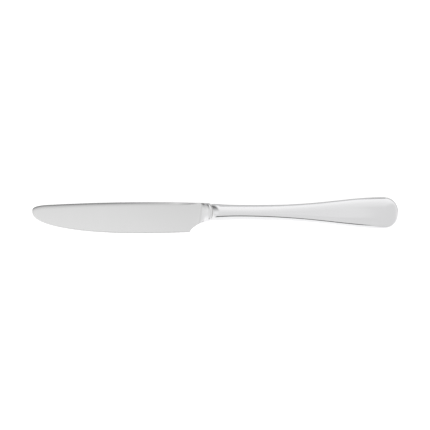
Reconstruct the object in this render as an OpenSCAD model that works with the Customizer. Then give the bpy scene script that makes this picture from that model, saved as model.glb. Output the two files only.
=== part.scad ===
// Dessert knife with a hollow handle, lying on its side on a table.
//
// The blade, its bolster and its tang are one forging. Two pressed half shells are brazed
// together into the handle, the bolster's spigot is brazed into the handle's mouth, and a
// cement core bonds the tang inside.
//
// X runs from the tip (-X) to the handle's end (+X), Y from the cutting edge (-Y) to the
// spine (+Y), and Z up from the table. The origin is on the table, under the middle of the
// knife's length and breadth. All sizes are in millimetres.

/* [Blade outline] */
// Length of the ground blade, from the tip to the front of the bolster
blade_length = 95.6; // [84:0.1:110]
// Height of the spine above the handle's axis, at its highest
spine_rise = 5.85; // [5:0.05:7]
// Distance from the tip to the highest point of the spine
spine_peak = 77; // [50:1:95]
// Radius of the spine's arc
spine_radius = 1200; // [800:10:2000]
// Length over which the spine comes down to the width of the bolster's crown
spine_fall = 22; // [10:1:40]
// Height of the tip's foremost point above the handle's axis
tip_height = 0.1; // [-2:0.1:2]
// Length over which the tip's upper corner is rounded
tip_length = 10.2; // [8:0.1:24]
// Squareness of the tip's upper corner: 2 is an ellipse, more is squarer
tip_power = 3.2; // [2:0.1:5]
// Depth of the cutting edge below the handle's axis, at its lowest
belly_drop = 12.2; // [10:0.1:15]
// Distance from the tip to the point where the belly levels out
belly_length = 60; // [40:1:75]
// Fullness of the belly's curve: 2 is an ellipse, more is fuller
belly_power = 2.24; // [1.8:0.01:3]
// Rise of the cutting edge from its lowest point to the heel
heel_rise = 0.7; // [0:0.05:1.5]
// Length of the choil, the hollow between the heel and the bolster
choil_length = 10.1; // [8:0.1:14]
// Fullness of the choil's curve: 2 is an ellipse, less is straighter
choil_power = 1.55; // [1.2:0.05:2.5]

/* [Blade thickness] */
// Thickness at the spine, next to the bolster
spine_thickness = 2.0; // [1.6:0.1:2.6]
// Thickness at the spine, above the tip
tip_thickness = 1.4; // [1.2:0.1:2]
// Thickness behind the cutting edge, at the depth of the belly, next to the bolster
edge_thickness = 1.0; // [0.9:0.1:1.4]
// Squareness of the blade's section, which sets how far its edges are rounded
blade_power = 10; // [6:1:16]

/* [Bolster] */
// Length of the bolster, from the ground blade to the seam at the handle's sides
bolster_length = 6.7; // [5:0.1:10]
// Width across the bolster's crown
bolster_width = 10.8; // [10.4:0.1:13]
// Thickness through the bolster's crown
bolster_thickness = 8.4; // [8:0.1:10]
// Distance from the bolster's crown to the seam
crown_setback = 1.5; // [0.8:0.1:3]
// Lateness of the bolster's rise: 1 is even, more keeps it low for longer
rise_power = 1.25; // [1:0.05:3]
// Share of the bolster's rise over which its section becomes round
rounding_share = 0.6; // [0.4:0.05:1]
// Distance by which the seam bows towards the handle on the knife's faces
seam_bow = 1.2; // [0:0.1:3]
// Bow of the bolster's crown, as a share of the seam's
crown_bow = 1.1; // [0:0.05:1.5]

/* [Handle] */
// Length of the handle, from the seam at its sides to its end
handle_length = 107.7; // [95:0.1:120]
// Width of the handle at its mouth
mouth_width = 10.4; // [9.5:0.1:12]
// Thickness of the handle at its mouth
mouth_thickness = 7.8; // [7.4:0.1:9]
// Width of the handle's neck
neck_width = 8.5; // [7.5:0.1:10]
// Thickness of the handle's neck
neck_thickness = 7.5; // [7:0.1:9]
// Distance from the mouth to the neck, where the handle is narrowest
neck_distance = 17.7; // [12:0.1:25]
// Width of the handle where its rounded end begins
end_width = 18; // [14:0.1:22]
// Thickness of the handle where its rounded end begins
end_thickness = 8.4; // [7.5:0.1:10]
// Length of the handle's rounded end
end_length = 8.5; // [6:0.5:12]
// Lateness of the handle's flare: 1 is even, more keeps the neck slim for longer
flare_power = 1.5; // [1:0.1:2]
// Depth to which the handle's mouth is rounded over at the seam
mouth_round = 0.4; // [0.1:0.05:0.5]
// Thickness of the handle's pressed wall
wall = 0.8; // [0.6:0.05:1]

/* [Joints] */
// Thickness of the braze between the shells and round the bolster's spigot
braze_gap = 0.15; // [0.1:0.01:0.2]
// Length of the bolster's spigot inside the handle's mouth
spigot_length = 4; // [3:0.5:6]
// Length of the tang behind the spigot
tang_length = 45; // [30:1:60]
// Width of the tang at its root
tang_width = 4.6; // [3:0.1:5]
// Thickness of the tang at its root
tang_thickness = 3.2; // [2:0.1:3.6]
// Share of its width and thickness that the tang keeps at its tip
tang_taper = 0.6; // [0.4:0.05:1]

/* [Hidden] */

// Every section is a ring of points: a front half from the spine side to the edge side,
// then a back half the other way round, with a flat as wide as the braze between them.
HALF_SIDES = 16;
RING_POINTS = 2 * (HALF_SIDES + 1);
half_gap = braze_gap / 2;

// Squareness of the round sections: 2 is an ellipse, more is flatter on its faces
bolster_power = 2.8;
mouth_power = 2.1;
end_power = 3.6;
end_outline_power = 2.15;
end_profile_power = 3;
tang_power = 8;

// Lengths over which a shape fades out
nose_length = 1.5;
mouth_round_length = 5;
bow_fade = 20;

// Length behind the neck over which the handle's faces become flatter
flattening_length = 60;

// Stock that grinding takes off each side of the forged blade
grind_stock = 0.06;

// Distances from the tip along the knife
seam_u = blade_length + bolster_length;
crown_u = seam_u - crown_setback;
heel_u = crown_u - choil_length;
knife_length = seam_u + handle_length;
// Distance from the seam to the start of the handle's rounded end
shoulder_v = handle_length - end_length;

// Place of the handle's axis over the table, which centres the knife on the origin
top_reach = max(end_width / 2, spine_rise);
axis_y = (belly_drop - top_reach) / 2;
axis_z = max(bolster_thickness, end_thickness, mouth_thickness, neck_thickness) / 2;

// Slopes of the ground faces along the blade and across it
ground_slope_x = (spine_thickness - tip_thickness) / 2 / blade_length;
ground_slope_y = (spine_thickness - edge_thickness) / 2 / (spine_rise + belly_drop);

function mix(a, b, t) = a + (b - a) * t;
function clamp01(t) = min(1, max(0, t));
function smooth(t) = let (c = clamp01(t)) c * c * (3 - 2 * c);
function ease(t) = (1 - cos(180 * clamp01(t))) / 2;
// Height of a superellipse's quarter at a share of its length, from 1 at 0 to 0 at 1
function bulge(share, power) = pow(max(0, 1 - pow(clamp01(share), power)), 1 / power);

// Outline of the blade and the bolster, seen from the side, at distance u from the tip

function spine_arc(u) = spine_rise - pow(u - spine_peak, 2) / (2 * spine_radius);

function blade_top(u) = mix(tip_height, spine_arc(u), bulge(1 - u / tip_length, tip_power));

function belly(u) =
    u < belly_length
    ? tip_height - (tip_height + belly_drop) * bulge(1 - u / belly_length, belly_power)
    : -belly_drop + heel_rise * pow((u - belly_length) / (heel_u - belly_length), 2);

function choil(u) =
    let (heel_y = belly(heel_u))
    mix(heel_y, -bolster_width / 2, bulge((crown_u - u) / choil_length, choil_power));

// From the crown to the seam the bolster rounds down to the handle's mouth
function shoulder_share(u) = 1 - bulge((u - crown_u) / crown_setback, 2);

// Shares of the change from blade to bolster: of its thickness, and of its section's shape
function rise_at(u) = clamp01((u - blade_length) / (crown_u - blade_length));
function bolster_share(u) = smooth(pow(rise_at(u), rise_power));
function round_at(u) = smooth(rise_at(u) / rounding_share);

function forging_top(u) =
    u > crown_u
    ? mix(bolster_width / 2, handle_half_width(0, 0), shoulder_share(u))
    : mix(blade_top(u), bolster_width / 2, smooth(1 - (crown_u - u) / spine_fall));

function forging_bottom(u) = u > crown_u ? -forging_top(u) : u > heel_u ? choil(u) : belly(u);

// Half the thickness of the ground blade at u, and at height y over the handle's axis
function ground_half(u, y) =
    spine_thickness / 2
    - ground_slope_x * (blade_length - u)
    - ground_slope_y * (spine_rise - y);

// Half the thickness of the forging, before grinding
function forging_half(u, y) =
    u > crown_u
    ? mix(bolster_thickness / 2, handle_half_thickness(0, 0), shoulder_share(u))
    : mix(
        (ground_half(u, y) + grind_stock) * bulge(1 - u / nose_length, 2),
        bolster_thickness / 2,
        bolster_share(u)
    );

function forging_power(u) =
    u > crown_u
    ? mix(bolster_power, mouth_power, shoulder_share(u))
    : mix(blade_power, bolster_power, round_at(u));

// Half sizes of the handle at distance v behind the seam. The inset is how far the surface
// lies inside the handle's outer skin: 0, or the wall, or the wall and the braze.

function neck_profile(v, mouth, neck, end) =
    v < neck_distance
    ? mix(neck, mouth, pow(1 - v / neck_distance, 2))
    : mix(neck, end, ease(pow(clamp01((v - neck_distance) / (shoulder_v - neck_distance)), flare_power)));

function end_share(v, inset) = (v - shoulder_v) / (end_length - inset);

// The outer skin is rounded over towards the seam
function mouth_dip(v, inset) =
    inset > 0 ? 0 : mouth_round * pow(1 - clamp01(v / mouth_round_length), 2);

function handle_half_width(v, inset) =
    (neck_profile(v, mouth_width / 2, neck_width / 2, end_width / 2) - mouth_dip(v, inset) - inset)
    * bulge(end_share(v, inset), end_outline_power);

function handle_half_thickness(v, inset) =
    (neck_profile(v, mouth_thickness / 2, neck_thickness / 2, end_thickness / 2)
        - mouth_dip(v, inset) - inset)
    * bulge(end_share(v, inset), end_profile_power);

function handle_power(v) =
    mix(mouth_power, end_power, smooth((v - neck_distance) / flattening_length));

function bow_at(v) = seam_bow * pow(1 - clamp01(v / bow_fade), 2);

// Sections

// One half of a ring: side is 1 for the front and -1 for the back. The half thickness goes
// evenly from half_top on the spine side to half_bottom on the edge side, and the middle of
// the section is carried along the knife by the bow.
function half_ring(u, top, bottom, half_top, half_bottom, power, bow, side) = [
    for (k = [0 : HALF_SIDES])
        let (
            turn = 180 * k / HALF_SIDES,
            across = sign(cos(turn)) * pow(abs(cos(turn)), 2 / power),
            up = pow(max(0, sin(turn)), 2 / power),
            half = mix(half_bottom, half_top, (across + 1) / 2)
        )
            [
                u + bow * (1 - across * across),
                mix(bottom, top, (across + 1) / 2),
                side * (half_gap + max(0, half - half_gap) * up)
            ]
];

function reversed(points) = [for (k = [len(points) - 1 : -1 : 0]) points[k]];

function whole_ring(u, top, bottom, half_top, half_bottom, power, bow) = concat(
    half_ring(u, top, bottom, half_top, half_bottom, power, bow, 1),
    reversed(half_ring(u, top, bottom, half_top, half_bottom, power, bow, -1))
);

function forging_ring(u) =
    let (top = forging_top(u), bottom = forging_bottom(u))
    whole_ring(
        u, top, bottom, forging_half(u, top), forging_half(u, bottom), forging_power(u),
        seam_bow * mix(crown_bow * bolster_share(u), 1, shoulder_share(u))
    );

function handle_ring(v, inset) =
    let (w = handle_half_width(v, inset), h = handle_half_thickness(v, inset))
    whole_ring(seam_u + v, w, -w, h, h, handle_power(v), bow_at(v));

function handle_half_ring(v, inset) =
    let (w = handle_half_width(v, inset), h = handle_half_thickness(v, inset))
    half_ring(seam_u + v, w, -w, h, h, handle_power(v), bow_at(v), 1);

// The tang's root lies on the spigot's bowed rear face, and the bow fades out along it
function tang_ring(share) =
    let (
        size = mix(1, tang_taper, share),
        w = tang_width / 2 * size,
        h = tang_thickness / 2 * size,
        v = spigot_length + tang_length * share
    )
        whole_ring(seam_u + v, w, -w, h, h, tang_power, bow_at(v));

// Places of the sections

NOSE_STEPS = 6;
BLADE_STEPS = 20;
CHOIL_STEPS = 12;
SHOULDER_STEPS = 5;
MOUTH_STEPS = 4;
HANDLE_STEPS = 22;
END_STEPS = 9;
TANG_STEPS = 6;

forging_places = concat(
    [for (i = [1 : NOSE_STEPS]) tip_length * (1 - cos(90 * i / NOSE_STEPS))],
    [for (i = [1 : BLADE_STEPS]) mix(tip_length, heel_u, i / BLADE_STEPS)],
    [for (i = [1 : CHOIL_STEPS]) crown_u - choil_length * cos(90 * i / CHOIL_STEPS)],
    [for (i = [1 : SHOULDER_STEPS]) crown_u + crown_setback * sin(90 * i / SHOULDER_STEPS)]
);

mouth_places = [for (i = [0 : MOUTH_STEPS]) mix(braze_gap, spigot_length, i / MOUTH_STEPS)];
body_places = [for (i = [1 : HANDLE_STEPS]) mix(spigot_length, shoulder_v, i / HANDLE_STEPS)];
function end_places(inset) = [
    for (i = [1 : END_STEPS - 1]) shoulder_v + (end_length - inset) * sin(90 * i / END_STEPS)
];
function shell_places(inset) = concat(mouth_places, body_places, end_places(inset));
function core_places(inset) = concat([spigot_length], body_places, end_places(inset));

// The point where a surface of the handle closes at its end
function end_pole(inset, z) = [seam_u + handle_length - inset, 0, z];

// Solids

function strip(a, b, size) = [
    for (k = [0 : size - 1])
        [a * size + k, b * size + k, b * size + (k + 1) % size, a * size + (k + 1) % size]
];

function joined(lists) = [for (list = lists) each list];

// A solid through rings of points, closed at a pole before the first ring and after the last
module loft(first_pole, rings, last_pole) {
    last = len(rings) - 1;
    first_index = len(rings) * RING_POINTS;
    polyhedron(
        points = concat(joined(rings), [first_pole, last_pole]),
        faces = concat(
            [for (k = [0 : RING_POINTS - 1]) [first_index, k, (k + 1) % RING_POINTS]],
            [for (j = [0 : last - 1]) each strip(j, j + 1, RING_POINTS)],
            [
                for (k = [0 : RING_POINTS - 1])
                    [
                        first_index + 1,
                        last * RING_POINTS + (k + 1) % RING_POINTS,
                        last * RING_POINTS + k
                    ]
            ]
        )
    );
}

// A solid collar through rings of points that lead back to the first
module collar(rings) {
    polyhedron(
        points = joined(rings),
        faces = [for (j = [0 : len(rings) - 1]) each strip(j, (j + 1) % len(rings), RING_POINTS)]
    );
}

// The knife's own frame has the tip at its origin and the handle's axis along X
module lay_on_table() {
    translate([-knife_length / 2, axis_y, axis_z]) children();
}

// Everything outside the blade's ground face, up to the bolster, on the front
module grinding_cut() {
    reach = 2 * (blade_length + belly_drop);
    steepness = norm([ground_slope_x, ground_slope_y, 1]);
    translate([blade_length, 0, ground_half(blade_length, 0)])
        rotate([asin(ground_slope_y / steepness), -atan(ground_slope_x), 0])
            translate([-reach, -reach / 2, 0])
                cube([reach, reach, bolster_thickness]);
}

module blade() {
    spigot_rings = [for (v = concat([0], mouth_places)) handle_ring(v, wall + braze_gap)];
    tang_rings = [for (i = [0 : TANG_STEPS]) tang_ring(i / TANG_STEPS)];
    color("silver")
        lay_on_table()
            difference() {
                loft(
                    [0, tip_height, 0],
                    concat([for (u = forging_places) forging_ring(u)], spigot_rings, tang_rings),
                    [seam_u + spigot_length + tang_length, 0, 0]
                );
                grinding_cut();
                mirror([0, 0, 1]) grinding_cut();
            }
}

// One pressed half of the handle, from its mouth to its end, on the front
module handle_shell() {
    size = HALF_SIDES + 1;
    outer = [for (v = shell_places(0)) handle_half_ring(v, 0)];
    inner = [for (v = shell_places(wall)) handle_half_ring(v, wall)];
    count = len(outer);
    last = count - 1;
    poles = [end_pole(0, half_gap), end_pole(wall, half_gap)];
    outer_pole = 2 * count * size;
    inner_pole = outer_pole + 1;
    function skin(j, k) = j * size + k;
    function lining(j, k) = (count + j) * size + k;
    polyhedron(
        points = concat(joined(outer), joined(inner), poles),
        faces = concat(
            [
                for (j = [0 : last - 1], k = [0 : HALF_SIDES - 1])
                    [skin(j, k), skin(j + 1, k), skin(j + 1, k + 1), skin(j, k + 1)]
            ],
            [
                for (j = [0 : last - 1], k = [0 : HALF_SIDES - 1])
                    [lining(j, k), lining(j, k + 1), lining(j + 1, k + 1), lining(j + 1, k)]
            ],
            [for (k = [0 : HALF_SIDES - 1]) [skin(last, k), outer_pole, skin(last, k + 1)]],
            [for (k = [0 : HALF_SIDES - 1]) [lining(last, k), lining(last, k + 1), inner_pole]],
            [
                for (k = [0 : HALF_SIDES - 1])
                    [skin(0, k), skin(0, k + 1), lining(0, k + 1), lining(0, k)]
            ],
            [
                for (j = [0 : last - 1])
                    [skin(j, 0), lining(j, 0), lining(j + 1, 0), skin(j + 1, 0)]
            ],
            [
                for (j = [0 : last - 1])
                    [
                        skin(j, HALF_SIDES),
                        skin(j + 1, HALF_SIDES),
                        lining(j + 1, HALF_SIDES),
                        lining(j, HALF_SIDES)
                    ]
            ],
            [
                [skin(last, 0), lining(last, 0), inner_pole, outer_pole],
                [skin(last, HALF_SIDES), outer_pole, inner_pole, lining(last, HALF_SIDES)]
            ]
        )
    );
}

module handle_shell_front() {
    color("gainsboro") lay_on_table() handle_shell();
}

module handle_shell_back() {
    color("gainsboro") lay_on_table() mirror([0, 0, 1]) handle_shell();
}

// Braze between the shells' rims, a flat band round the handle from one side of its mouth to
// the other
module shell_seam_braze() {
    size = 4;
    function corners(outer, inner) = [
        [outer[0], outer[1], half_gap],
        [inner[0], inner[1], half_gap],
        [inner[0], inner[1], -half_gap],
        [outer[0], outer[1], -half_gap]
    ];
    function rim(k, i) = corners(
        handle_half_ring(shell_places(0)[i], 0)[k],
        handle_half_ring(shell_places(wall)[i], wall)[k]
    );
    count = len(shell_places(0));
    stations = concat(
        [for (i = [0 : count - 1]) rim(0, i)],
        [corners(end_pole(0, 0), end_pole(wall, 0))],
        [for (i = [count - 1 : -1 : 0]) rim(HALF_SIDES, i)]
    );
    last = len(stations) - 1;
    color("lightgray")
        lay_on_table()
            polyhedron(
                points = joined(stations),
                faces = concat(
                    [[0, 1, 2, 3]],
                    [for (j = [0 : last - 1]) each strip(j, j + 1, size)],
                    [[for (k = [size - 1 : -1 : 0]) last * size + k]]
                )
            );
}

// Braze between the bolster and the handle: a flange at the seam and a sleeve round the spigot
module bolster_braze() {
    bore_inset = wall + braze_gap;
    color("lightgray")
        lay_on_table()
            collar(
                concat(
                    [handle_ring(0, 0), handle_ring(braze_gap, 0)],
                    [for (v = mouth_places) handle_ring(v, wall)],
                    [for (v = reversed(mouth_places)) handle_ring(v, bore_inset)],
                    [handle_ring(0, bore_inset)]
                )
            );
}

// Cement that fills the handle round the tang
module handle_filler() {
    socket = [for (i = [TANG_STEPS : -1 : 0]) tang_ring(i / TANG_STEPS)];
    outside = [for (v = core_places(wall)) handle_ring(v, wall)];
    color("rosybrown")
        lay_on_table()
            loft(
                [seam_u + spigot_length + tang_length, 0, 0],
                concat(socket, outside),
                end_pole(wall, 0)
            );
}

blade();
handle_shell_front();
handle_shell_back();
shell_seam_braze();
bolster_braze();
handle_filler();
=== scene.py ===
"""Dresses a hollow-handled dessert knife that lies on its side on a pale floor.

The knife's own frame is used for every shape: u runs from the tip along the knife, v from the
seam along the handle, y from the handle's axis towards the spine and z up from the blade's middle
plane, all in millimetres. KnifeFrame turns these into the row frame, in metres.
"""
import logging
import math
from dataclasses import dataclass
from enum import Enum
from typing import Any, ClassVar, Optional, Sequence, Union

import bmesh
import bpy
import numpy as np
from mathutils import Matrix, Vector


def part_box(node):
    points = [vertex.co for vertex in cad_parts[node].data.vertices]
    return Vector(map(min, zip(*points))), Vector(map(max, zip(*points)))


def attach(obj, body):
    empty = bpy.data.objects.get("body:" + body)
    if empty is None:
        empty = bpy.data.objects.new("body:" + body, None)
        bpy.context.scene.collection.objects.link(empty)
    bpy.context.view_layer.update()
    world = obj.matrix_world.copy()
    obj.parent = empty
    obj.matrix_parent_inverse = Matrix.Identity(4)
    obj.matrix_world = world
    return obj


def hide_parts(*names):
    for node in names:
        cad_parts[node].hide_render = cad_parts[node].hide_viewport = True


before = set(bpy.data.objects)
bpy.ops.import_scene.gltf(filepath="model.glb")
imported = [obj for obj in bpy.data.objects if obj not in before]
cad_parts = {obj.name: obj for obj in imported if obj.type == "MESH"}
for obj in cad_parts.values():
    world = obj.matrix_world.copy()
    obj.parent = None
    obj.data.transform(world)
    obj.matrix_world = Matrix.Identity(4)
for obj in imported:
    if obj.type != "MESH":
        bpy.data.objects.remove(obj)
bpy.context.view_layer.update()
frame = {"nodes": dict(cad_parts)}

BODY = "root"
MM = 0.001

# Points closer than this, in metres, are one point
SAME_POINT_M = 1e-7

# Power of a superellipse that is a plain ellipse
ELLIPSE = 2.0

# Turns points over to the other side of the blade's middle plane
MIRROR = np.array([1.0, 1.0, -1.0])

# Turns row axes into ways to the left, to the front and up
LEFT_FRONT_UP = (-1.0, -1.0, 1.0)

# The sRGB curve, which is straight up to its knee and a power above it
FULL_CHANNEL = 255.0
SRGB_KNEE = 0.04045
SRGB_STRAIGHT = 12.92
SRGB_OFFSET = 0.055
SRGB_POWER = 2.4
WHITE = "#FFFFFF"

# Attribute that is 1 on the blade's ground cutting bevel and 0 elsewhere
EDGE_BAND = "edge_band"

# Attribute that goes from 0 along the blade's spine to 1 along its edge; it carries the painted light that
# makes the blade lighter towards its edge
TOWARD_EDGE = "toward_edge"

# Attribute that goes from 0 on the blade to 1 on the bolster's lower side: the buffed tone, with painted
# light that keeps it to the lower side
BUFFED_AND_LIT_BELOW = "buffed_and_lit_below"

log = logging.getLogger("dessert_knife")

Array = np.ndarray
Number = Union[float, Array]
Socket = bpy.types.NodeSocket
Tree = bpy.types.NodeTree
Material = bpy.types.Material
Piece = bpy.types.Object


class Side(Enum):
    """The two sides of the blade's middle plane."""

    FRONT = "front"
    BACK = "back"


def mix(a: Number, b: Number, share: Number) -> Number:
    """Goes straight from a to b as share goes from 0 to 1."""
    return a + (b - a) * share


def clamp01(share: Number) -> Number:
    """Keeps a share between 0 and 1."""
    return np.clip(share, 0.0, 1.0)


def smooth(share: Number) -> Number:
    """Goes from 0 to 1 with level ends, as three squares less two cubes."""
    kept = clamp01(share)
    return kept * kept * (3.0 - 2.0 * kept)


def ease(share: Number) -> Number:
    """Goes from 0 to 1 along half a cosine wave."""
    return (1.0 - np.cos(np.pi * clamp01(share))) / 2.0


def bulge(share: Number, power: Number) -> Number:
    """Gives the height of a superellipse's quarter.

    Args:
        share: place along the quarter, 0 at its full height and 1 at its foot.
        power: squareness, where 2 is an ellipse and more is squarer.

    Returns:
        Height from 1 to 0, the root of one less the share to that power.
    """
    return np.maximum(0.0, 1.0 - clamp01(share) ** power) ** (1.0 / power)


def signed_power(value: Array, power: Number) -> Array:
    """Raises the size of a value to a power and keeps its sign."""
    return np.sign(value) * np.abs(value) ** power


def linear(hex_colour: str) -> tuple[float, float, float, float]:
    """Turns an sRGB hex colour into a linear one.

    Args:
        hex_colour: six hex digits after a hash sign.

    Returns:
        Linear red, green and blue, and an alpha of 1.
    """
    channels = [int(hex_colour[i:i + 2], 16) / FULL_CHANNEL for i in (1, 3, 5)]
    red, green, blue = (
        c / SRGB_STRAIGHT if c <= SRGB_KNEE else ((c + SRGB_OFFSET) / (1.0 + SRGB_OFFSET)) ** SRGB_POWER
        for c in channels
    )
    return (red, green, blue, 1.0)


def add_node(
    tree: Tree,
    kind: str,
    settings: Optional[dict[str, Any]] = None,
    inputs: Optional[dict[Union[str, int], Any]] = None,
) -> bpy.types.Node:
    """Adds a node with its settings and links.

    Args:
        tree: tree that takes the node.
        kind: type of shader node, as it is called after ShaderNode.
        settings: attributes to set on the node.
        inputs: socket names or numbers, each with a value or an output socket to link from.

    Returns:
        The new node.
    """
    made = tree.nodes.new("ShaderNode" + kind)
    for name, value in (settings or {}).items():
        setattr(made, name, value)
    for key, value in (inputs or {}).items():
        if isinstance(value, Socket):
            tree.links.new(value, made.inputs[key])
        else:
            made.inputs[key].default_value = value
    return made


def new_material(name: str) -> tuple[Material, Tree]:
    """Makes an empty node material.

    Args:
        name: material name.

    Returns:
        The material and its node tree.
    """
    material = bpy.data.materials.new(name)
    material.use_nodes = True
    material.node_tree.nodes.clear()
    return material, material.node_tree


@dataclass(frozen=True)
class MetalFinish:
    """Metal whose surface was finished by a wheel or belt that leaves fine lines.

    The lines are far finer than a pixel of the render, so they are drawn as coarse as they need
    to be to break up the reflections a little.
    """

    name: str
    bright: str
    dull: str
    smoothest: float
    roughest: float
    line_along_mm: tuple[float, float, float]
    line_depth_mm: float
    cloud_mm: float
    line_detail: ClassVar[float] = 3.0
    line_fade: ClassVar[float] = 0.6
    line_span: ClassVar[tuple[float, float]] = (0.3, 0.7)
    cloud_detail: ClassVar[float] = 2.0

    def colour(self, tree: Tree, brightness: Socket) -> Socket:
        """Mixes the dull and the bright tone.

        Args:
            tree: tree of the material.
            brightness: share of the bright tone.

        Returns:
            The colour.
        """
        tones = add_node(
            tree, "Mix", {"data_type": "RGBA"},
            {"Factor": brightness, "A": linear(self.dull), "B": linear(self.bright)},
        )
        return tones.outputs["Result"]

    def roughness(self, tree: Tree, lines: Socket) -> Socket:
        """Spreads the roughness evenly over the heights of the lines.

        Args:
            tree: tree of the material.
            lines: heights of the lines, from 0 to 1.

        Returns:
            The roughness.
        """
        polish = add_node(
            tree, "MapRange",
            inputs={
                "Value": lines,
                "From Min": self.line_span[0],
                "From Max": self.line_span[1],
                "To Min": self.smoothest,
                "To Max": self.roughest,
            },
        )
        return polish.outputs["Result"]

    def material(self) -> Material:
        """Builds the metal: cloudy colour, and roughness and bump from its lines.

        Returns:
            The metal.
        """
        material, tree = new_material(self.name)
        place = add_node(tree, "TexCoord")
        stretch = [1.0 / (size * MM) for size in self.line_along_mm]
        along = add_node(
            tree, "Mapping",
            inputs={"Vector": place.outputs["Object"], "Scale": stretch},
        )
        lines = add_node(
            tree, "TexNoise",
            inputs={
                "Vector": along.outputs["Vector"],
                "Scale": 1.0,
                "Detail": self.line_detail,
                "Roughness": self.line_fade,
            },
        )
        clouds = add_node(
            tree, "TexNoise",
            inputs={
                "Vector": place.outputs["Object"],
                "Scale": 1.0 / (self.cloud_mm * MM),
                "Detail": self.cloud_detail,
            },
        )
        relief = add_node(
            tree, "Bump",
            inputs={
                "Height": lines.outputs["Fac"],
                "Distance": self.line_depth_mm * MM,
                "Strength": 1.0,
            },
        )
        metal = add_node(
            tree, "BsdfPrincipled",
            inputs={
                "Base Color": self.colour(tree, clouds.outputs["Fac"]),
                "Metallic": 1.0,
                "Roughness": self.roughness(tree, lines.outputs["Fac"]),
                "Normal": relief.outputs["Normal"],
            },
        )
        add_node(tree, "OutputMaterial", inputs={"Surface": metal.outputs["BSDF"]})
        return material


@dataclass(frozen=True)
class BladeFinish(MetalFinish):
    """Metal of the forging, which has a ground cutting bevel and a buffed bolster, and painted light that
    makes it lighter towards the edge.
    """

    buffed_and_lit_below: str
    painted_light_toward_edge: float
    edge_roughness: float

    def colour(self, tree: Tree, brightness: Socket) -> Socket:
        """Paints light onto the blade, lighter towards the edge, and goes over to the buffed tone at the
        bolster.

        Args:
            tree: tree of the material.
            brightness: share of the bright tone before the painted light is mixed in.

        Returns:
            The colour.
        """
        toward_edge = add_node(tree, "Attribute", {"attribute_name": TOWARD_EDGE})
        # Painted light: most of the tone follows the place from spine to edge, so the blade is lighter
        # towards its edge
        lifted = add_node(
            tree, "Mix", {"data_type": "FLOAT"},
            {"Factor": self.painted_light_toward_edge, "A": brightness, "B": toward_edge.outputs["Fac"]},
        )
        ground = super().colour(tree, lifted.outputs["Result"])
        # Painted light: the buffed tone is laid on the bolster more towards its lower side
        buffed_and_lit_below = add_node(tree, "Attribute", {"attribute_name": BUFFED_AND_LIT_BELOW})
        tones = add_node(
            tree, "Mix", {"data_type": "RGBA"},
            {"Factor": buffed_and_lit_below.outputs["Fac"], "A": ground, "B": linear(self.buffed_and_lit_below)},
        )
        return tones.outputs["Result"]

    def roughness(self, tree: Tree, lines: Socket) -> Socket:
        """Gives the cutting bevel a roughness of its own.

        Args:
            tree: tree of the material.
            lines: heights of the lines, from 0 to 1.

        Returns:
            The roughness.
        """
        polish = super().roughness(tree, lines)
        edge = add_node(tree, "Attribute", {"attribute_name": EDGE_BAND})
        both = add_node(
            tree, "Mix", {"data_type": "FLOAT"},
            {"Factor": edge.outputs["Fac"], "A": polish, "B": self.edge_roughness},
        )
        return both.outputs["Result"]


@dataclass(frozen=True)
class CementFinish:
    """Hard casting cement: a dry, grainy solid, hidden inside the handle."""

    name: str = "hard_casting_cement"
    pale: str = "#A39685"
    dark: str = "#7A6E60"
    grain_mm: float = 0.6
    grain_depth_mm: float = 0.05
    grain_detail: float = 4.0
    roughness: float = 0.9

    def material(self) -> Material:
        """Builds the cement: two tones and a bump from its grains.

        Returns:
            The cement.
        """
        material, tree = new_material(self.name)
        place = add_node(tree, "TexCoord")
        grain = add_node(
            tree, "TexNoise",
            inputs={
                "Vector": place.outputs["Object"],
                "Scale": 1.0 / (self.grain_mm * MM),
                "Detail": self.grain_detail,
            },
        )
        colour = add_node(
            tree, "Mix", {"data_type": "RGBA"},
            {"Factor": grain.outputs["Fac"], "A": linear(self.dark), "B": linear(self.pale)},
        )
        relief = add_node(
            tree, "Bump",
            inputs={"Height": grain.outputs["Fac"], "Distance": self.grain_depth_mm * MM},
        )
        body = add_node(
            tree, "BsdfPrincipled",
            inputs={
                "Base Color": colour.outputs["Result"],
                "Roughness": self.roughness,
                "Normal": relief.outputs["Normal"],
            },
        )
        add_node(tree, "OutputMaterial", inputs={"Surface": body.outputs["BSDF"]})
        return material


# Martensitic stainless steel, ground across the blade and then polished: a soft mirror. Its tone has
# painted light, lighter towards the edge and on the bolster's lower side
BLADE_STEEL = BladeFinish(
    name="polished_blade_steel",
    bright="#E7E7E7",
    dull="#E0E0E0",
    smoothest=0.10,
    roughest=0.16,
    line_along_mm=(0.5, 14.0, 14.0),
    line_depth_mm=0.0004,
    cloud_mm=18.0,
    # Buffed tone of the bolster, which painted light lays on towards its lower side
    buffed_and_lit_below="#EFEFF0",
    # Share of the blade's tone that is painted light, lighter towards the edge
    painted_light_toward_edge=0.8,
    edge_roughness=0.28,
)

# Austenitic stainless sheet, pressed and buffed along its length: a clear, bright mirror
HANDLE_STEEL = MetalFinish(
    name="mirror_polished_handle_steel",
    bright="#EFEFF0",
    dull="#EBEBEC",
    smoothest=0.06,
    roughest=0.10,
    line_along_mm=(30.0, 0.6, 0.6),
    line_depth_mm=0.0004,
    cloud_mm=22.0,
)

# Silver brazing alloy, buffed flush with the steel: a touch warmer, duller and less bright
BRAZE_ALLOY = MetalFinish(
    name="buffed_brazing_alloy",
    bright="#EBE9E4",
    dull="#E0DDD7",
    smoothest=0.16,
    roughest=0.26,
    line_along_mm=(6.0, 0.4, 0.4),
    line_depth_mm=0.0006,
    cloud_mm=5.0,
)

CEMENT = CementFinish()


def box_mm(node: str) -> tuple[Array, Array]:
    """Gives a node's lowest and highest corners in millimetres."""
    low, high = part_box(node)
    return np.array(low) / MM, np.array(high) / MM


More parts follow.
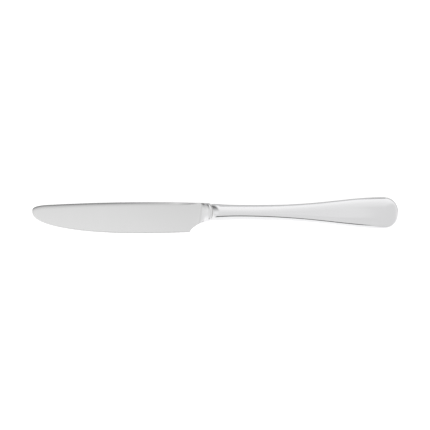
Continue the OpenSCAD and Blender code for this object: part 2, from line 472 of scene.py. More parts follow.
@dataclass(frozen=True)
class KnifeFrame:
    """Sizes and places, in millimetres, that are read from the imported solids."""

    tip_x: float
    axis_y: float
    axis_z: float
    seam_u: float
    length: float
    spine_rise: float
    belly_drop: float
    bolster_thickness: float
    end_width: float
    braze_gap: float
    wall: float

    @classmethod
    def read(cls) -> "KnifeFrame":
        """Measures the solids' boxes.

        Returns:
            The sizes and places.
        """
        blade_low, blade_high = box_mm("blade")
        shell_low, shell_high = box_mm("handle_shell_front")
        seam_low, seam_high = box_mm("shell_seam_braze")
        core_high = box_mm("handle_filler")[1]
        collar_low = box_mm("bolster_braze")[0]
        axis_y = (shell_low[1] + shell_high[1]) / 2.0
        return cls(
            tip_x=float(blade_low[0]),
            axis_y=float(axis_y),
            axis_z=float((blade_low[2] + blade_high[2]) / 2.0),
            seam_u=float(collar_low[0] - blade_low[0]),
            length=float(shell_high[0] - blade_low[0]),
            spine_rise=float(blade_high[1] - axis_y),
            belly_drop=float(axis_y - blade_low[1]),
            bolster_thickness=float(blade_high[2] - blade_low[2]),
            end_width=float(shell_high[1] - shell_low[1]),
            braze_gap=float(seam_high[2] - seam_low[2]),
            wall=float(shell_high[1] - core_high[1]),
        )

    def to_row(self, points: Array) -> Array:
        """Moves points of the knife's own frame into the row frame.

        Args:
            points: array whose last axis is u, y and z in millimetres.

        Returns:
            Flat array of row points in metres.
        """
        origin = np.array([self.tip_x, self.axis_y, self.axis_z])
        return (points.reshape(-1, 3) + origin) * MM


def grid_quads(rows: int, columns: int, closed: bool) -> Array:
    """Lists the quads of a grid of points, wound so that they face away from its axis.

    Args:
        rows: number of rings along the knife.
        columns: number of points in each ring, in turn from the spine over the front.
        closed: whether the last point of a ring joins the first.

    Returns:
        Array of four point numbers for each quad.
    """
    row = np.arange(rows - 1)[:, None] * columns
    column = np.arange(columns if closed else columns - 1)[None, :]
    after = (column + 1) % columns
    corners = [row + column, row + after, row + columns + after, row + columns + column]
    return np.stack(corners, axis=-1).reshape(-1, 4)


def fan(ring: Array, pole: int, closed: bool) -> Array:
    """Lists the triangles that close a ring at a pole in front of it.

    Args:
        ring: point numbers of the ring.
        pole: number of the pole's point.
        closed: whether the last point of the ring joins the first.

    Returns:
        Array of three point numbers for each triangle.
    """
    after = np.roll(ring, -1)
    poles = np.full_like(ring, pole)
    triangles = np.stack([poles, after, ring], axis=-1)
    return triangles if closed else triangles[:-1]


def add_piece(
    name: str,
    points: Array,
    faces: Sequence[Array],
    flat: Sequence[bool],
    material: Material,
) -> Piece:
    """Puts points and faces into a mesh object at the origin.

    Args:
        name: name of the piece.
        points: row points in metres.
        faces: arrays of point numbers, one array for each kind of surface.
        flat: for each array, whether its faces are shaded flat.
        material: finish of the piece.

    Returns:
        The linked object.
    """
    mesh = bpy.data.meshes.new(name)
    mesh.from_pydata(points.tolist(), [], [face for block in faces for face in block.tolist()])
    shading = np.concatenate([np.full(len(block), not level) for block, level in zip(faces, flat)])
    mesh.polygons.foreach_set("use_smooth", shading)
    mesh.materials.append(material)
    mesh.update()
    piece = bpy.data.objects.new(name, mesh)
    bpy.context.scene.collection.objects.link(piece)
    return piece


def weld(piece: Piece) -> None:
    """Merges points that lie on each other, with the faces of no area between them.

    Args:
        piece: piece whose mesh is merged.
    """
    merged = bmesh.new()
    merged.from_mesh(piece.data)
    bmesh.ops.remove_doubles(merged, verts=merged.verts, dist=SAME_POINT_M)
    merged.to_mesh(piece.data)
    merged.free()


def settle(piece: Piece, node: str) -> None:
    """Sets a piece in the place of a node, on the knife's only body.

    Args:
        piece: new piece.
        node: node that it stands for.
    """
    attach(piece, BODY)
    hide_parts(node)
    log.info("%s: %d faces in place of %s", piece.name, len(piece.data.polygons), node)


@dataclass
class HollowHandle:
    """Two pressed half shells and the braze between their rims."""

    frame: KnifeFrame
    mouth_width: float = 10.4
    mouth_thickness: float = 7.8
    neck_width: float = 8.5
    neck_thickness: float = 7.5
    neck_distance: float = 17.7
    end_thickness: float = 8.4
    end_length: float = 8.5
    flare_power: float = 1.5
    mouth_round: float = 0.48
    mouth_round_length: float = 5.0
    lip_round: float = 0.27
    lip_length: float = 1.3
    seam_bow: float = 1.2
    bow_fade: float = 20.0
    mouth_power: float = 2.1
    end_power: float = 3.6
    flattening_length: float = 60.0
    end_outline_power: float = 2.15
    end_profile_power: float = 3.0
    spigot_length: float = 4.0
    half_sides: int = 64
    mouth_rings: int = 24
    body_rings: int = 150
    end_rings: int = 48

    @property
    def length(self) -> float:
        """Length from the seam to the handle's end."""
        return self.frame.length - self.frame.seam_u

    @property
    def shoulder(self) -> float:
        """Distance from the seam to the start of the rounded end."""
        return self.length - self.end_length

    @property
    def half_gap(self) -> float:
        """Half the width of the gap that the braze fills."""
        return self.frame.braze_gap / 2.0

    def mouth_dip(self, v: Array, inset: float) -> Array:
        """Rounds the outer skin over towards the seam, along a long parabola and a short one.

        Args:
            v: distances from the seam.
            inset: distance inside the outer skin, past which there is no rounding.

        Returns:
            Depth of the rounding at v.
        """
        long_share = 1.0 - clamp01(v / self.mouth_round_length)
        lip_share = 1.0 - clamp01(v / self.lip_length)
        depth = self.mouth_round * long_share ** 2 + self.lip_round * lip_share ** 2
        return np.zeros_like(v) if inset > 0.0 else depth

    def half_size(
        self, v: Array, inset: float, sizes: tuple[float, float, float], power: float
    ) -> Array:
        """Runs half a width or thickness along the handle.

        A parabola falls from the mouth to the neck, and half a cosine wave, delayed by the flare's
        power, rises from the neck to the shoulder. The mouth's rounding and the inset are taken
        off, and a superellipse closes the end.

        Args:
            v: distances from the seam.
            inset: distance inside the outer skin.
            sizes: whole sizes at the mouth, at the neck and from the shoulder on.
            power: squareness of the end.

        Returns:
            Half the size at v.
        """
        mouth, neck, end = (size / 2.0 for size in sizes)
        narrowing = mix(neck, mouth, (1.0 - v / self.neck_distance) ** 2)
        share = clamp01((v - self.neck_distance) / (self.shoulder - self.neck_distance))
        flare = mix(neck, end, ease(share ** self.flare_power))
        full = np.where(v < self.neck_distance, narrowing, flare)
        closing = bulge((v - self.shoulder) / (self.end_length - inset), power)
        return (full - self.mouth_dip(v, inset) - inset) * closing

    def half_width(self, v: Array, inset: float) -> Array:
        """Half the width at v, the given inset inside the outer skin."""
        sizes = (self.mouth_width, self.neck_width, self.frame.end_width)
        return self.half_size(v, inset, sizes, self.end_outline_power)

    def half_thickness(self, v: Array, inset: float) -> Array:
        """Half the thickness at v, the given inset inside the outer skin."""
        sizes = (self.mouth_thickness, self.neck_thickness, self.end_thickness)
        return self.half_size(v, inset, sizes, self.end_profile_power)

    def power(self, v: Array) -> Array:
        """Squareness of the section at v."""
        share = smooth((v - self.neck_distance) / self.flattening_length)
        return mix(self.mouth_power, self.end_power, share)

    def bow(self, v: Array) -> Array:
        """Distance by which the section's middle is carried along the handle at v."""
        return self.seam_bow * (1.0 - clamp01(v / self.bow_fade)) ** 2

    def half_rings(self, v: Array, inset: float) -> Array:
        """Works out half sections, from the spine side over the front to the edge side.

        At angle t the superellipse has y as the cosine and z as the sine of t, each to two over
        the section's power. The bow falls off with the square of y.

        Args:
            v: distances from the seam.
            inset: distance inside the outer skin.

        Returns:
            Array of rings by points by u, y and z.
        """
        turn = np.linspace(0.0, np.pi, self.half_sides + 1)[None, :]
        rows = np.asarray(v, float)[:, None]
        power = self.power(rows)
        across = signed_power(np.cos(turn), 2.0 / power)
        up = signed_power(np.sin(turn), 2.0 / power)
        u = self.frame.seam_u + rows + self.bow(rows) * (1.0 - across ** 2)
        y = self.half_width(rows, inset) * across
        z = self.half_gap + np.maximum(0.0, self.half_thickness(rows, inset) - self.half_gap) * up
        return np.stack([u, y, z], axis=-1)

    def rings(self, v: Array, inset: float) -> Array:
        """Works out whole sections: the front halves, then the back halves the other way round.

        Args:
            v: distances from the seam.
            inset: distance inside the outer skin.

        Returns:
            Array of rings by points by u, y and z.
        """
        front = self.half_rings(v, inset)
        back = front[:, ::-1] * MIRROR
        return np.concatenate([front, back], axis=1)

    def mouth_places(self) -> Array:
        """Distances of the rings along the spigot, from the seam's braze to its rear."""
        return np.linspace(self.frame.braze_gap, self.spigot_length, self.mouth_rings + 1)

    def places(self, inset: float) -> Array:
        """Sets out a shell's rings, closer together at the mouth and, by a sine, at the end.

        Args:
            inset: distance inside the outer skin.

        Returns:
            Distances of the rings from the seam.
        """
        body = np.linspace(self.spigot_length, self.shoulder, self.body_rings + 1)[1:]
        turn = np.linspace(0.0, np.pi / 2, self.end_rings + 1)[1:-1]
        end = self.shoulder + (self.end_length - inset) * np.sin(turn)
        return np.concatenate([self.mouth_places(), body, end])

    def skins(self) -> tuple[Array, Array]:
        """Half sections of the outer skin, and of the lining a wall inside it."""
        wall = self.frame.wall
        return self.half_rings(self.places(0.0), 0.0), self.half_rings(self.places(wall), wall)

    def end_point(self, inset: float, z: float) -> Array:
        """Point where a surface of the handle closes at its end."""
        return np.array([[self.frame.seam_u + self.length - inset, 0.0, z]])

    def shell(self, side: Side, material: Material) -> Piece:
        """Builds a half shell: an outer skin, a lining a wall inside it, and the rim between them.

        Args:
            side: side of the middle plane that the shell covers.
            material: finish of the shell.

        Returns:
            The closed shell.
        """
        skin, lining = self.skins()
        rows, columns = skin.shape[:2]
        count = rows * columns
        poles = [self.end_point(inset, self.half_gap) for inset in (0.0, self.frame.wall)]
        points = np.concatenate([skin.reshape(-1, 3), lining.reshape(-1, 3), *poles])
        numbers = np.arange(count).reshape(rows, columns)
        inner = numbers + count
        outer_pole = 2 * count
        inner_pole = outer_pole + 1
        skin_quads = grid_quads(rows, columns, False)
        spine_rim = np.append(numbers[:, 0], outer_pole)
        spine_lining = np.append(inner[:, 0], inner_pole)
        edge_rim = np.append(numbers[:, -1], outer_pole)
        edge_lining = np.append(inner[:, -1], inner_pole)
        rims = [
            np.stack([spine_rim[:-1], spine_rim[1:], spine_lining[1:], spine_lining[:-1]], axis=-1),
            np.stack([edge_rim[:-1], edge_lining[:-1], edge_lining[1:], edge_rim[1:]], axis=-1),
            np.stack([numbers[0, :-1], inner[0, :-1], inner[0, 1:], numbers[0, 1:]], axis=-1),
        ]
        faces = [
            skin_quads,
            (skin_quads + count)[:, ::-1],
            fan(numbers[-1], outer_pole, False)[:, ::-1],
            fan(inner[-1], inner_pole, False),
            *rims,
        ]
        if side is Side.BACK:
            points = points * MIRROR
            faces = [block[:, ::-1] for block in faces]
        flat = [False, False, False, False, True, True, True]
        name = f"handle_shell_{side.value}_polished"
        return add_piece(name, self.frame.to_row(points), faces, flat, material)

    def seam(self, material: Material) -> Piece:
        """Builds the braze between the shells, a band of square section round the handle.

        Args:
            material: finish of the braze.

        Returns:
            The closed band.
        """
        skin, lining = self.skins()
        tip = self.end_point(0.0, 0.0)
        inner_tip = self.end_point(self.frame.wall, 0.0)
        outer = np.concatenate([skin[:, 0], tip, skin[::-1, -1]])
        inner = np.concatenate([lining[:, 0], inner_tip, lining[::-1, -1]])
        up = np.array([0.0, 0.0, self.half_gap])
        level = np.array([1.0, 1.0, 0.0])
        corners = [outer * level + up, inner * level + up, inner * level - up, outer * level - up]
        stations = np.stack(corners, axis=1)
        rows, columns = stations.shape[:2]
        first = np.array([[3, 2, 1, 0]])
        last = np.array([[0, 1, 2, 3]]) + (rows - 1) * columns
        faces = [grid_quads(rows, columns, True), first, last]
        points = self.frame.to_row(stations)
        return add_piece("shell_seam_braze_line", points, faces, [True, True, True], material)


@dataclass
class Forging:
    """The blade, its bolster, and the spigot and tang inside the handle, forged in one piece."""

    frame: KnifeFrame
    handle: HollowHandle
    blade_length: float = 95.6
    spine_peak: float = 77.0
    spine_radius: float = 1200.0
    tip_height: float = 0.1
    tip_length: float = 10.2
    tip_power: float = 3.2
    belly_length: float = 60.0
    belly_power: float = 2.24
    heel_rise: float = 0.7
    choil_length: float = 10.1
    choil_power: float = 1.55
    spine_thickness: float = 2.0
    tip_thickness: float = 1.4
    edge_thickness: float = 1.0
    blade_power: float = 10.0
    bolster_width: float = 10.8
    bolster_power: float = 2.8
    rise_power: float = 1.25
    blend_slant: float = 1.2
    buffing_lead: float = 4.0
    rounding_share: float = 0.6
    spine_fall: float = 22.0
    crown_bow: float = 1.1
    crown_setback: float = 1.5
    nose_length: float = 1.5
    spine_round: float = 3.0
    bolster_spine_round: float = 0.8
    spine_round_fade: float = 12.0
    edge_round: float = 0.3
    bevel_width: float = 0.8
    bevel_drop: float = 0.2
    bevel_fade: float = 1.5
    tang_length: float = 45.0
    tang_width: float = 4.6
    tang_thickness: float = 3.2
    tang_taper: float = 0.6
    tang_power: float = 8.0
    nose_rings: int = 40
    blade_rings: int = 90
    choil_rings: int = 90
    shoulder_rings: int = 28
    tang_rings: int = 12

    @property
    def crown(self) -> float:
        """Distance from the tip to the bolster's crown."""
        return self.frame.seam_u - self.crown_setback

    @property
    def heel(self) -> float:
        """Distance from the tip to the heel, where the cutting edge ends."""
        return self.crown - self.choil_length

    def bolster_share(self, u: Array, across: Array) -> Array:
        """Works out the share of the change from blade to bolster, which starts later by the spine.

        Args:
            u: distances from the tip.
            across: place in the section, from 1 at the spine to -1 at the edge.

        Returns:
            Share that rises with level ends from 0 on the blade to 1 at the crown.
        """
        start = self.blade_length + self.blend_slant * across
        share = clamp01((u - start) / (self.crown - start))
        return smooth(share ** self.rise_power)

    def shoulder_share(self, u: Array) -> Array:
        """Share of the change from crown to seam at u, along a quarter circle."""
        return 1.0 - bulge((u - self.crown) / self.crown_setback, ELLIPSE)

    def top(self, u: Array) -> Array:
        """Runs the upper outline: a long parabola with a rounded tip, then the bolster.

        Args:
            u: distances from the tip.

        Returns:
            Height y of the outline at u.
        """
        arc = self.frame.spine_rise - (u - self.spine_peak) ** 2 / (2.0 * self.spine_radius)
        blade = mix(self.tip_height, arc, bulge(1.0 - u / self.tip_length, self.tip_power))
        crown_half = self.bolster_width / 2.0
        mouth_half = self.handle.half_width(np.zeros(1), 0.0)[0]
        rising = mix(blade, crown_half, smooth(1.0 - (self.crown - u) / self.spine_fall))
        return np.where(u > self.crown, mix(crown_half, mouth_half, self.shoulder_share(u)), rising)

    def bottom(self, u: Array) -> Array:
        """Runs the lower outline: a superellipse for the belly, a parabola to the heel, the choil.

        Args:
            u: distances from the tip.

        Returns:
            Height y of the outline at u.
        """
        drop = self.frame.belly_drop
        fall = (self.tip_height + drop) * bulge(1.0 - u / self.belly_length, self.belly_power)
        after = (u - self.belly_length) / (self.heel - self.belly_length)
        belly = np.where(
            u < self.belly_length, self.tip_height - fall, self.heel_rise * after ** 2 - drop
        )
        rise = bulge((self.crown - u) / self.choil_length, self.choil_power)
        choil = mix(self.heel_rise - drop, -self.bolster_width / 2.0, rise)
        edge = np.where(u > self.heel, choil, belly)
        return np.where(u > self.crown, -self.top(u), edge)

    def ground_half(self, u: Array, y: Array) -> Array:
        """Grinds the blade to a plane that thins to the tip and the edge.

        Args:
            u: distances from the tip.
            y: heights above the handle's axis.

        Returns:
            Half the thickness of the ground blade.
        """
        along = (self.spine_thickness - self.tip_thickness) / 2.0 / self.blade_length
        depth = self.frame.spine_rise + self.frame.belly_drop
        across = (self.spine_thickness - self.edge_thickness) / 2.0 / depth
        toward_tip = self.blade_length - np.minimum(u, self.blade_length)
        return self.spine_thickness / 2.0 - along * toward_tip - across * (self.frame.spine_rise - y)

    def bevel(self, u: Array, from_edge: Array) -> Array:
        """Share of the cutting bevel at u: 1 at the edge, 0 above the bevel and past the heel."""
        near = 1.0 - clamp01(from_edge / self.bevel_width)
        return near * (1.0 - smooth((u - self.heel + self.bevel_fade) / self.bevel_fade))

    def rings(self) -> tuple[Array, dict[str, Array]]:
        """Works out the sections from the tip to the seam.

        Across a section, y is the cosine of the angle from the spine. The blade's half thickness
        is the ground plane less the bevel, rounded over by ellipses at the spine and the edge. It
        goes over to a superellipse of the bolster's thickness as the bolster's share grows.

        Returns:
            Array of rings by points by u, y and z, and by attribute name its share at each point.
        """
        u = self.places()[:, None]
        turn = self.ring_turns()[None, :]
        across = np.cos(turn)
        top = self.top(u)
        bottom = self.bottom(u)
        half_width = (top - bottom) / 2.0
        y = (top + bottom) / 2.0 + half_width * across
        from_spine = top - y
        from_edge = y - bottom
        bevel = self.bevel(u, from_edge)
        ground = self.ground_half(u, y) - self.bevel_drop * bevel
        crisp = smooth(1.0 - (self.blade_length - u) / self.spine_round_fade)
        spine_round = np.minimum(mix(self.spine_round, self.bolster_spine_round, crisp), half_width)
        edge_round = np.minimum(self.edge_round, half_width)
        over_spine = bulge(1.0 - from_spine / spine_round, ELLIPSE)
        over_edge = bulge(1.0 - from_edge / edge_round, ELLIPSE)
        share = self.bolster_share(u, across)
        rounding_length = self.rounding_share * (self.crown - self.blade_length)
        roundness = smooth((u - self.blade_length) / rounding_length)
        behind = self.shoulder_share(u)
        bolster_power = mix(self.bolster_power, self.handle.mouth_power, behind)
        power = mix(self.blade_power, bolster_power, roundness)
        oval = bulge(np.abs(across), power)
        crown_half = self.frame.bolster_thickness / 2.0
        mouth_half = self.handle.half_thickness(np.zeros(1), 0.0)[0]
        nose = bulge(1.0 - u / self.nose_length, ELLIPSE)
        half = mix(mix(ground * nose, crown_half, share), mouth_half, behind)
        z = np.sign(np.sin(turn)) * half * mix(over_spine * over_edge, oval, roundness)
        bow = self.handle.seam_bow * mix(self.crown_bow * share, 1.0, behind)
        along = u + bow * (1.0 - across ** 2)
        points = np.stack(np.broadcast_arrays(along, y, z), axis=-1)
        # Painted light: the blade's tone goes lighter from the spine towards the edge
        toward_edge = (1.0 - across) / 2.0
        # Painted light: the buffed tone grows along the bolster and is laid on towards its lower side
        buffed_and_lit_below = smooth(self.buffing_lead * share) * toward_edge
        shares = {EDGE_BAND: bevel, TOWARD_EDGE: toward_edge, BUFFED_AND_LIT_BELOW: buffed_and_lit_below}
        return points, {name: np.broadcast_to(at, points.shape[:2]) for name, at in shares.items()}

    def ring_turns(self) -> Array:
        """Angles of a ring's points, from the spine over the front and back under the blade."""
        half = np.linspace(0.0, np.pi, self.handle.half_sides + 1)
        return np.concatenate([half, 2.0 * np.pi - half[::-1]])

    def places(self) -> Array:
        """Sets out the rings, by cosines and sines closer at the tip, the heel and the bolster.

        Returns:
            Distances of the rings from the tip.
        """
        swing = np.linspace(0.0, np.pi / 2, self.nose_rings + 1)[1:]
        nose = self.tip_length * (1.0 - np.cos(swing))
        blade = np.linspace(self.tip_length, self.heel, self.blade_rings + 1)[1:]
        swing = np.linspace(0.0, np.pi / 2, self.choil_rings + 1)[1:]
        choil = self.crown - self.choil_length * np.cos(swing)
        swing = np.linspace(0.0, np.pi / 2, self.shoulder_rings + 1)[1:]
        shoulder = self.crown + self.crown_setback * np.sin(swing)
        return np.concatenate([nose, blade, choil, shoulder])

    def tang(self) -> Array:
        """Works out the sections of the tang, squarish superellipses that taper evenly.

        Returns:
            Array of rings by points by u, y and z.
        """
        share = np.linspace(0.0, 1.0, self.tang_rings + 1)[:, None]
        turn = self.ring_turns()[None, :]
        size = mix(1.0, self.tang_taper, share)
        v = self.handle.spigot_length + self.tang_length * share
        across = signed_power(np.cos(turn), 2.0 / self.tang_power)
        up = signed_power(np.sin(turn), 2.0 / self.tang_power)
        u = self.frame.seam_u + v + self.handle.bow(v) * (1.0 - across ** 2)
        y = self.tang_width / 2.0 * size * across
        z = self.tang_thickness / 2.0 * size * up
        return np.stack(np.broadcast_arrays(u, y, z), axis=-1)

    def build(self, material: Material) -> Piece:
        """Builds the forging as one closed skin from the tip to the tang's end.

        Args:
            material: finish of the forging.

        Returns:
            The closed forging, with its shares as attributes.
        """
        outside, shares = self.rings()
        bore_inset = self.frame.wall + self.frame.braze_gap
        spigot = self.handle.rings(np.append(0.0, self.handle.mouth_places()), bore_inset)
        rings = np.concatenate([outside, spigot, self.tang()])
        rows, columns = rings.shape[:2]
        tip = [0.0, self.tip_height, 0.0]
        tang_end = [self.frame.seam_u + self.handle.spigot_length + self.tang_length, 0.0, 0.0]
        points = np.concatenate([rings.reshape(-1, 3), [tip, tang_end]])
        numbers = np.arange(rows * columns).reshape(rows, columns)
        pole = rows * columns
        shown = len(outside)
        quads = grid_quads(rows, columns, True).reshape(rows - 1, columns, 4)
        faces = [
            quads[:shown - 1].reshape(-1, 4),
            quads[shown - 1:].reshape(-1, 4),
            fan(numbers[0], pole, True),
            fan(numbers[-1], pole + 1, True)[:, ::-1],
        ]
        flat = [False, True, False, True]
        piece = add_piece("blade_ground", self.frame.to_row(points), faces, flat, material)
        for attribute, at in shares.items():
            layer = piece.data.attributes.new(attribute, "FLOAT", "POINT")
            values = np.concatenate([at.ravel(), np.zeros(len(points) - at.size)])
            layer.data.foreach_set("value", values.astype(np.float32))
        weld(piece)
        return piece


@dataclass
class BolsterJoint:
    """The braze between the bolster and the handle: a flange at the seam, a sleeve inside."""

    frame: KnifeFrame
    handle: HollowHandle

    def build(self, material: Material) -> Piece:
        """Builds the collar from rings that lead round its section and back to the first.

        Args:
            material: finish of the braze.

        Returns:
            The closed collar.
        """
        gap = self.frame.braze_gap
        wall = self.frame.wall
        places = self.handle.mouth_places()
        rings = np.concatenate([
            self.handle.rings(np.array([0.0, gap]), 0.0),
            self.handle.rings(places, wall),
            self.handle.rings(places[::-1], wall + gap),
            self.handle.rings(np.zeros(1), wall + gap),
            self.handle.rings(np.zeros(1), 0.0),
        ])
        rows, columns = rings.shape[:2]
        count = (rows - 1) * columns
        quads = grid_quads(rows, columns, True) % count
        points = self.frame.to_row(rings[:-1])
        return add_piece("bolster_braze_line", points, [quads], [True], material)


@dataclass(frozen=True)
class Card:
    """A soft-edged patch of the studio's walls, seen from the knife.

    Azimuths are in degrees from the left (-X) towards the front (-Y), and polar angles are in
    degrees from straight up. The level is the patch's brightness, where 1 is white. Each edge
    fades over its soft angle on either side.
    """

    level: float
    azimuth: tuple[float, float]
    polar: tuple[float, float]
    azimuth_soft: tuple[float, float]
    polar_soft: tuple[float, float]


@dataclass
class Studio:
    """Floor, walls, lamp and camera round the knife."""

    frame: KnifeFrame
    photo_pixels: float = 430.0
    knife_pixels: float = 366.0
    camera_roll: float = 0.2
    camera_back_mm: float = 0.09
    lens_mm: float = 100.0
    sensor_mm: float = 36.0
    floor_half_m: float = 2.0
    floor_colour: str = "#D2D2D2"
    shown_glow: float = 0.7
    near_glow: float = 0.43
    far_glow: float = 0.07
    glow_end_mm: float = 2.0
    glow_soft_mm: float = 4.0
    ceiling_level: float = 0.872
    ceiling_slope: tuple[float, float, float] = (0.0, 0.14, 0.0)
    cards: tuple[Card, ...] = (
        # Greyer ceiling straight above
        Card(0.85, (-200.0, 200.0), (-5.0, 4.8), (5.0, 5.0), (1.0, 1.2)),
        # Brighter patch of the ceiling towards the tip
        Card(0.935, (-75.0, 75.0), (5.0, 18.0), (15.0, 15.0), (0.6, 8.0)),
        # Greyer ceiling past the handle's end, in two halves that meet straight behind it
        Card(0.79, (105.0, 200.0), (6.9, 60.0), (15.0, 5.0), (0.5, 15.0)),
        Card(0.79, (-200.0, -143.0), (6.9, 60.0), (5.0, 20.0), (0.5, 15.0)),
        # Pale wall behind the spine
        Card(1.05, (-135.0, -85.7), (35.0, 100.0), (30.0, 4.5), (25.0, 5.0)),
        # Dark strip low behind the handle's end
        Card(0.1, (-102.0, -93.5), (80.0, 100.0), (3.0, 1.5), (4.0, 5.0)),
        # Pale wall by the tip
        Card(1.2, (0.0, 60.0), (56.0, 82.0), (30.0, 15.0), (16.0, 6.0)),
        # Dark opening between those two walls
        Card(0.2, (-85.7, -24.0), (27.0, 100.0), (4.5, 36.0), (29.0, 5.0)),
        # Pale wall in front of the edge, brighter towards the tip
        Card(1.05, (60.0, 96.3), (48.0, 100.0), (15.0, 1.6), (6.0, 5.0)),
        Card(1.06, (20.0, 76.0), (36.0, 80.0), (22.0, 6.0), (18.0, 6.0)),
        # Dark gap above that wall
        Card(0.04, (80.0, 96.3), (40.4, 53.2), (3.0, 1.6), (1.5, 1.5)),
    )
    lamp_power: float = 6.0
    lamp_size_m: float = 0.8
    lamp_place_m: tuple[float, float, float] = (0.0, -1.0, 0.7)

    def floor(self) -> None:
        """Lays a floor that is white to the eye and keeps the knife's shadow.

        Its glow is full for the camera. In mirrors the floor in front of the knife glows more
        than the floor behind it, with a soft border between them.
        """
        half = self.floor_half_m
        points = np.array([[-half, -half, 0.0], [half, -half, 0.0], [half, half, 0.0], [-half, half, 0.0]])
        material, tree = new_material("matt_white_floor")
        paint = add_node(tree, "BsdfDiffuse", inputs={"Color": linear(self.floor_colour)})
        path = add_node(tree, "LightPath")
        mirrored = add_node(
            tree, "Math", {"operation": "MAXIMUM"},
            {0: path.outputs["Is Glossy Ray"], 1: path.outputs["Is Transmission Ray"]},
        )
        place = add_node(tree, "TexCoord")
        axes = add_node(tree, "SeparateXYZ", inputs={0: place.outputs["Object"]})
        floor_glow = add_node(
            tree, "MapRange", {"interpolation_type": "SMOOTHSTEP"},
            {
                "Value": axes.outputs["Y"],
                "From Min": (self.glow_end_mm + self.glow_soft_mm) * MM,
                "From Max": (self.glow_end_mm - self.glow_soft_mm) * MM,
                "To Min": self.far_glow,
                "To Max": self.near_glow,
            },
        )
        reflected_glow = add_node(
            tree, "Math", {"operation": "MULTIPLY"},
            {0: mirrored.outputs["Value"], 1: floor_glow.outputs["Result"]},
        )
        glow = add_node(
            tree, "Math", {"operation": "MULTIPLY_ADD"},
            {0: path.outputs["Is Camera Ray"], 1: self.shown_glow, 2: reflected_glow.outputs["Value"]},
        )
        light = add_node(tree, "Emission", inputs={"Strength": glow.outputs["Value"]})
        both = add_node(
            tree, "AddShader",
            inputs={0: paint.outputs["BSDF"], 1: light.outputs["Emission"]},
        )
        add_node(tree, "OutputMaterial", inputs={"Surface": both.outputs["Shader"]})
        floor = add_piece("floor", points, [np.array([[0, 1, 2, 3]])], [True], material)

    def card_mask(self, tree: Tree, card: Card, azimuth: Socket, polar: Socket) -> Socket:
        """Multiplies the soft steps at a card's four edges.

        Args:
            tree: tree of the world.
            card: the card.
            azimuth: azimuth of the ray, in radians.
            polar: polar angle of the ray, in radians.

        Returns:
            Mask that is 1 on the card and 0 away from it.
        """
        edges = (
            (azimuth, card.azimuth[0], card.azimuth_soft[0]),
            (azimuth, card.azimuth[1], -card.azimuth_soft[1]),
            (polar, card.polar[0], card.polar_soft[0]),
            (polar, card.polar[1], -card.polar_soft[1]),
        )
        mask: Union[float, Socket] = 1.0
        for angle, edge, soft in edges:
            inside = add_node(
                tree, "MapRange", {"interpolation_type": "SMOOTHSTEP"},
                {
                    "Value": angle,
                    "From Min": math.radians(edge - soft),
                    "From Max": math.radians(edge + soft),
                },
            )
            joined = add_node(
                tree, "Math", {"operation": "MULTIPLY"},
                {0: mask, 1: inside.outputs["Result"]},
            )
            mask = joined.outputs["Value"]
        return mask

    def walls(self) -> None:
        """Paints the walls and ceiling into the world, as cards over a gently sloped grey.

        The azimuth is the arc tangent of the ray's way to the front over its way to the left, and
        the polar angle is the arc cosine of its way up. The camera sees plain white.
        """
        world = bpy.data.worlds.new("studio")
        world.use_nodes = True
        bpy.context.scene.world = world
        tree = world.node_tree
        tree.nodes.clear()
        place = add_node(tree, "TexCoord")
        turned = add_node(
            tree, "VectorMath", {"operation": "MULTIPLY"},
            {0: place.outputs["Generated"], 1: LEFT_FRONT_UP},
        )
        axes = add_node(tree, "SeparateXYZ", inputs={0: turned.outputs["Vector"]})
        azimuth = add_node(
            tree, "Math", {"operation": "ARCTAN2"},
            {0: axes.outputs["Y"], 1: axes.outputs["X"]},
        )
        polar = add_node(tree, "Math", {"operation": "ARCCOSINE"}, {0: axes.outputs["Z"]})
        sloped = add_node(
            tree, "VectorMath", {"operation": "DOT_PRODUCT"},
            {0: place.outputs["Generated"], 1: self.ceiling_slope},
        )
        ceiling = add_node(
            tree, "Math", {"operation": "ADD"},
            {0: sloped.outputs["Value"], 1: self.ceiling_level},
        )
        level = ceiling.outputs["Value"]
        for card in self.cards:
            mask = self.card_mask(tree, card, azimuth.outputs["Value"], polar.outputs["Value"])
            laid = add_node(
                tree, "Mix", {"data_type": "FLOAT"},
                {"Factor": mask, "A": level, "B": card.level},
            )
            level = laid.outputs["Result"]
        path = add_node(tree, "LightPath")
        shown = add_node(
            tree, "Mix", {"data_type": "FLOAT"},
            {"Factor": path.outputs["Is Camera Ray"], "A": level, "B": 1.0},
        )
        sky = add_node(
            tree, "Background",
            inputs={"Color": linear(WHITE), "Strength": shown.outputs["Result"]},
        )
        add_node(tree, "OutputWorld", inputs={"Surface": sky.outputs["Background"]})

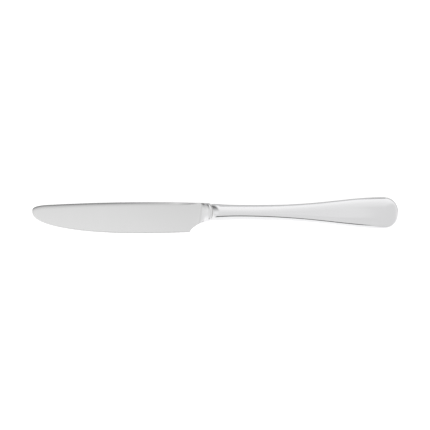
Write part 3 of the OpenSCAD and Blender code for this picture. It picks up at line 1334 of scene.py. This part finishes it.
    def lamp(self) -> None:
        """Hangs a soft lamp in front of the edge, which throws the shadow behind the spine."""
        light = bpy.data.lights.new("front_softbox", "AREA")
        light.energy = self.lamp_power
        light.size = self.lamp_size_m
        lamp = bpy.data.objects.new("front_softbox", light)
        lamp.location = self.lamp_place_m
        aim = -lamp.location
        lamp.rotation_euler = aim.to_track_quat("-Z", "Y").to_euler()
        lamp.visible_glossy = False
        bpy.context.scene.collection.objects.link(lamp)

    def camera(self) -> None:
        """Hangs the camera straight over the knife, at the height that fits the photo's frame."""
        shown_mm = self.frame.length * self.photo_pixels / self.knife_pixels
        height_mm = self.frame.axis_z + shown_mm * self.lens_mm / self.sensor_mm
        data = bpy.data.cameras.new("camera")
        data.lens = self.lens_mm
        data.sensor_width = self.sensor_mm
        camera = bpy.data.objects.new("camera", data)
        camera.location = (0.0, self.camera_back_mm * MM, height_mm * MM)
        camera.rotation_euler = (0.0, 0.0, math.radians(self.camera_roll))
        bpy.context.scene.collection.objects.link(camera)
        bpy.context.scene.camera = camera


def dress_node(node: str, material: Material) -> None:
    """Gives a node that is carried over its finish.

    Args:
        node: name of the node.
        material: finish of the node.
    """
    piece = frame["nodes"][node]
    piece.data.materials.clear()
    piece.data.materials.append(material)
    log.info("%s: carried over", node)


def main() -> None:
    """Builds the studio and the knife."""
    logging.basicConfig(level=logging.INFO, format="%(name)s %(message)s")
    bpy.context.scene.view_settings.view_transform = "Standard"
    sizes = KnifeFrame.read()
    studio = Studio(sizes)
    studio.camera()
    studio.floor()
    studio.walls()
    studio.lamp()
    handle_steel = HANDLE_STEEL.material()
    braze = BRAZE_ALLOY.material()
    handle = HollowHandle(sizes)
    for side in Side:
        settle(handle.shell(side, handle_steel), f"handle_shell_{side.value}")
    settle(handle.seam(braze), "shell_seam_braze")
    forging = Forging(sizes, handle)
    settle(forging.build(BLADE_STEEL.material()), "blade")
    settle(BolsterJoint(sizes, handle).build(braze), "bolster_braze")
    dress_node("handle_filler", CEMENT.material())


if __name__ == "__main__":
    main()
